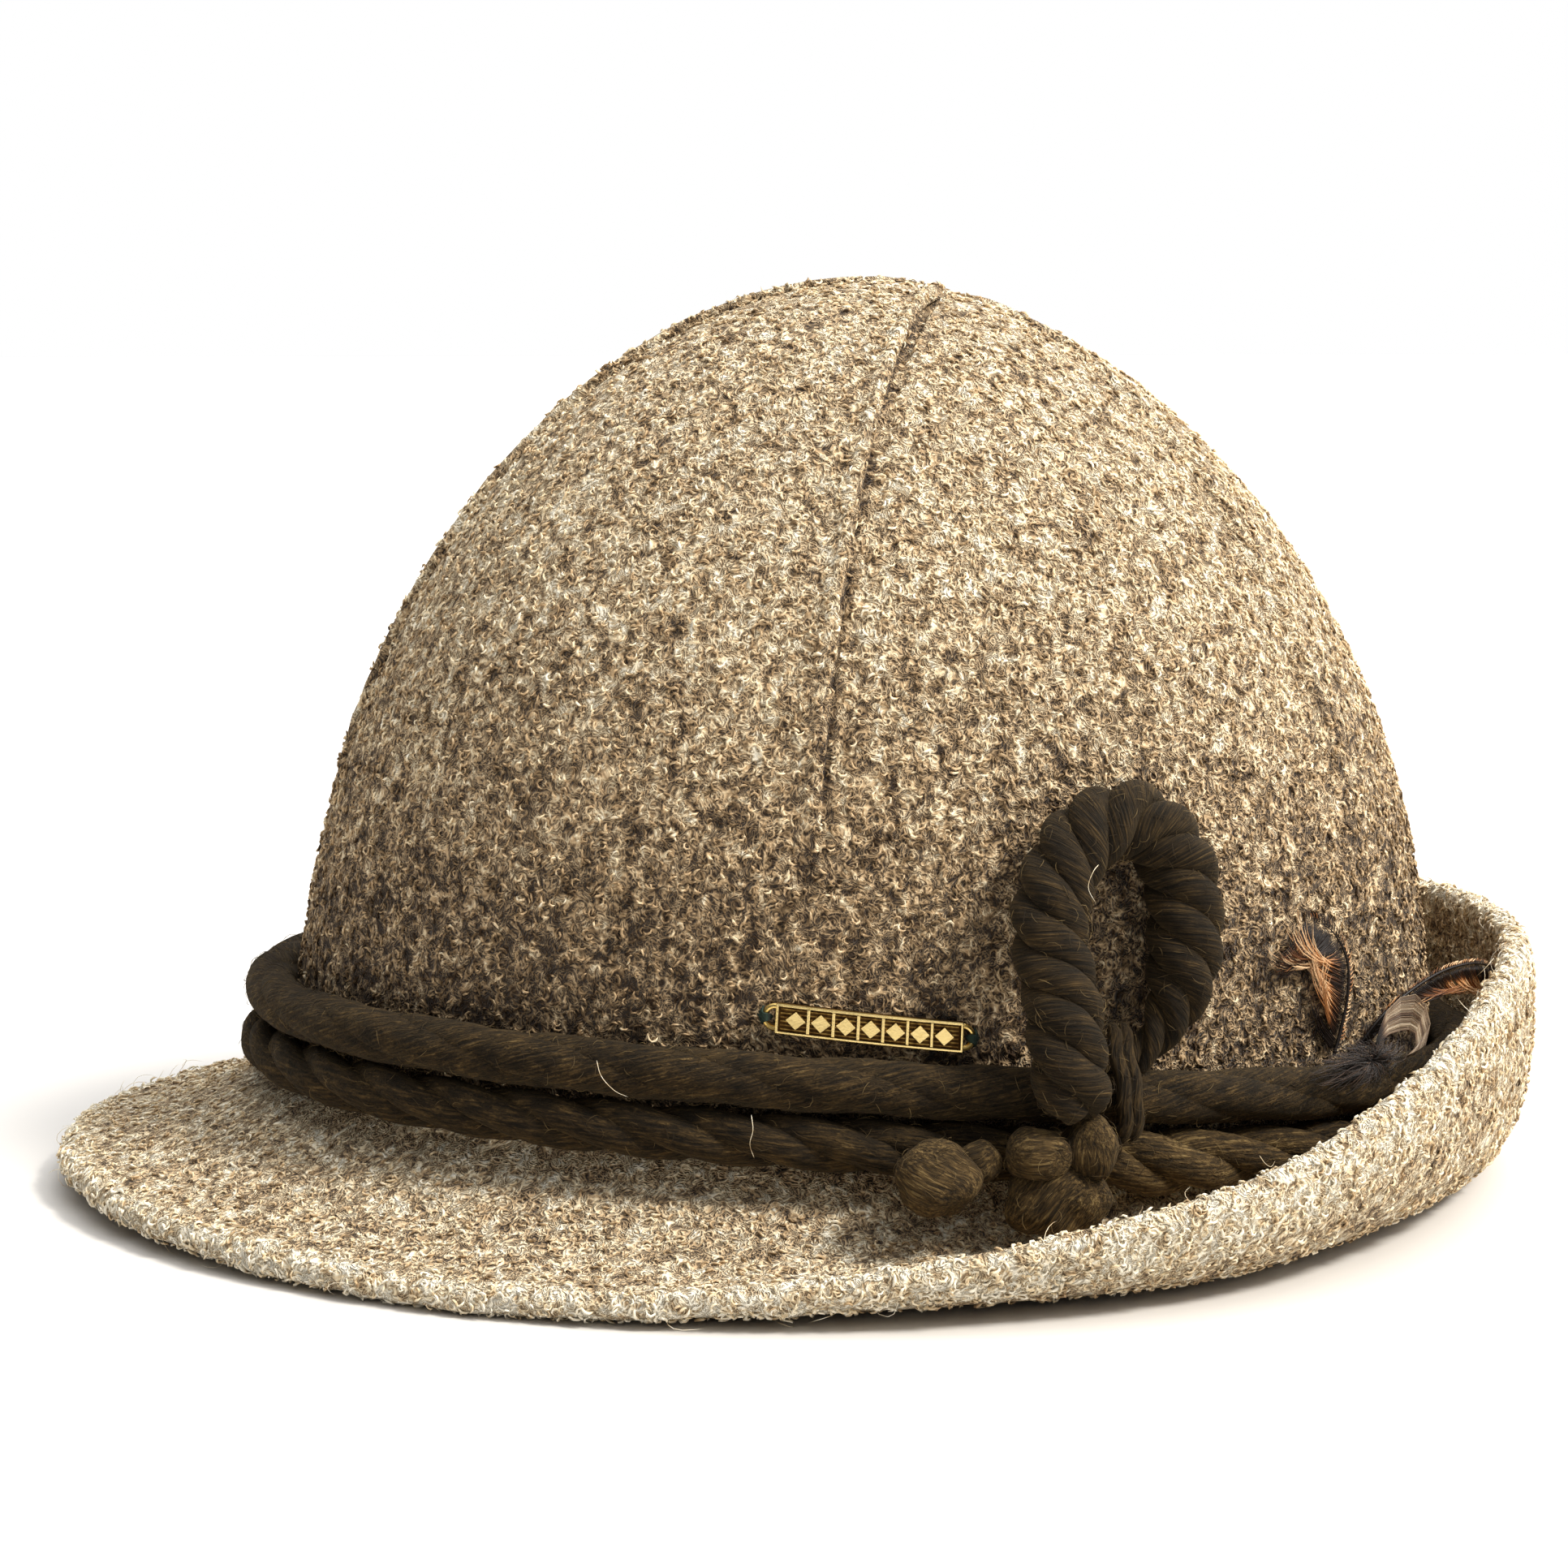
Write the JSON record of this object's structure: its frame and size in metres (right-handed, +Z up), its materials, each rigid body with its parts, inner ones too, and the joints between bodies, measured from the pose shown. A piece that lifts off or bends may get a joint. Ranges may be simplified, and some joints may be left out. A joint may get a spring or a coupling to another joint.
{
  "type": "tyrolean hat",
  "caption": "Soft Tyrolean hat of fulled wool with a dart-seamed dome, a brim turned up at the back, and a wool cord band with a standing loop, knots, brass bar and feathers.",
  "frame": {"origin": "under the middle of the hat's outline box, at table height", "axes": "+Z up; the hat's front toward -Y; the wearer's left, with the loop and feathers, toward +X"},
  "size_m": [0.2358, 0.265, 0.1567],
  "materials": {
    "felt": "fulled wool, mottled",
    "cord": "soft plied wool",
    "brass": "polished",
    "vane": "feather barbs",
    "down": "down"
  },
  "bodies": {
    "root": {"crown": "felt", "brim": "felt", "upper_cord": "cord", "lower_cord": "cord", "loop_cord": "cord", "loop_tie": "cord", "knot_centre": "cord", "knot_left": "cord", "badge": "brass", "feather_front": "vane", "feather_back": "vane", "feather_down": "down"}
  },
  "joints": []
}
